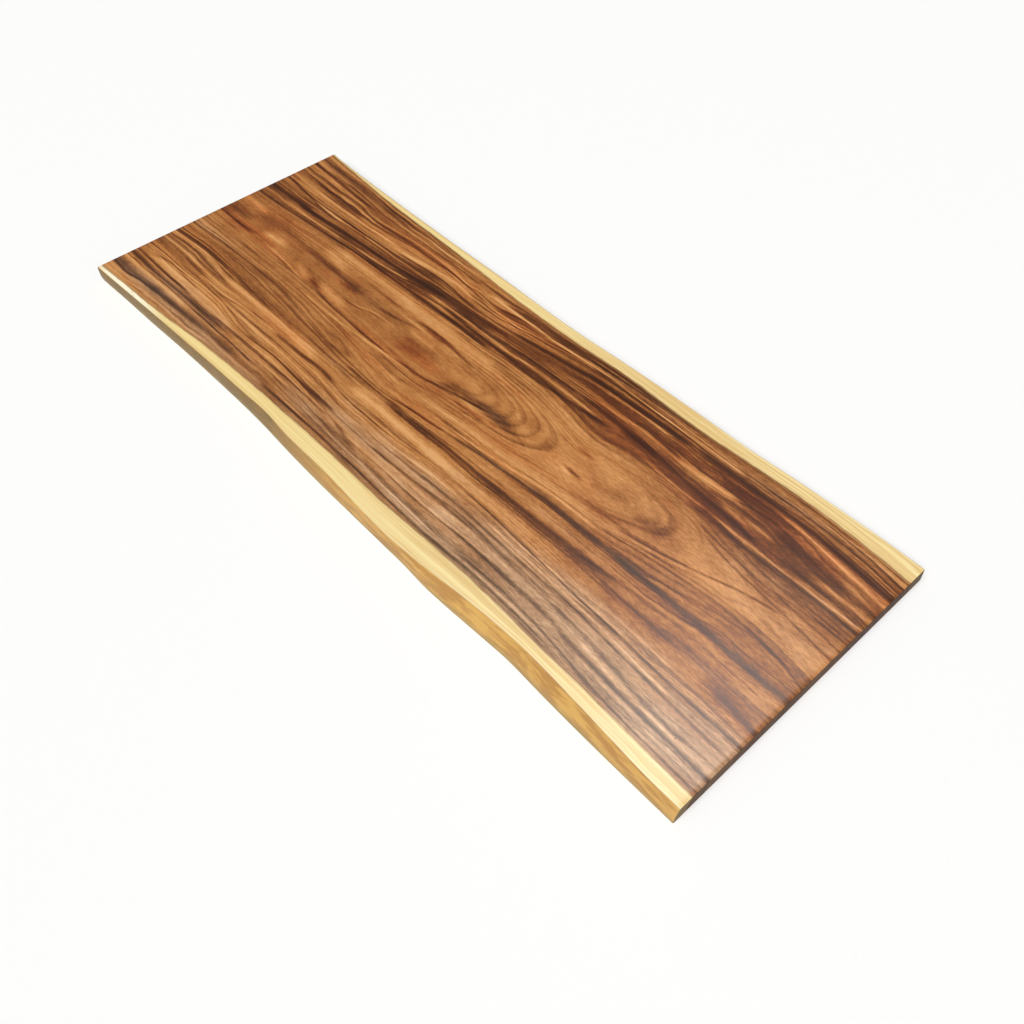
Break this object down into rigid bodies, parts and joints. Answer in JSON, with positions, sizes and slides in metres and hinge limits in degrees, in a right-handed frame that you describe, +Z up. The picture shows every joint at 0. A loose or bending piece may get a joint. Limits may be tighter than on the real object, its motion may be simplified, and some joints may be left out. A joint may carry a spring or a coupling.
{
  "type": "live edge wood slab",
  "caption": "Long planed hardwood slab for a table top, with square sawn ends and natural wavy live edges of pale sapwood beside dark striped heartwood.",
  "frame": {"origin": "centre of the bounding box in plan, at the planed underside that the slab lies on", "axes": "+X along the grain towards the slab's wider end, +Y across the grain towards the straighter of the live edges, +Z up out of the planed top face"},
  "size_m": [1.93, 0.771, 0.048],
  "materials": {
    "raintree_wood": "planed, sanded and oiled to a satin sheen"
  },
  "bodies": {
    "root": {"live_edge_slab": "raintree_wood"}
  },
  "joints": []
}
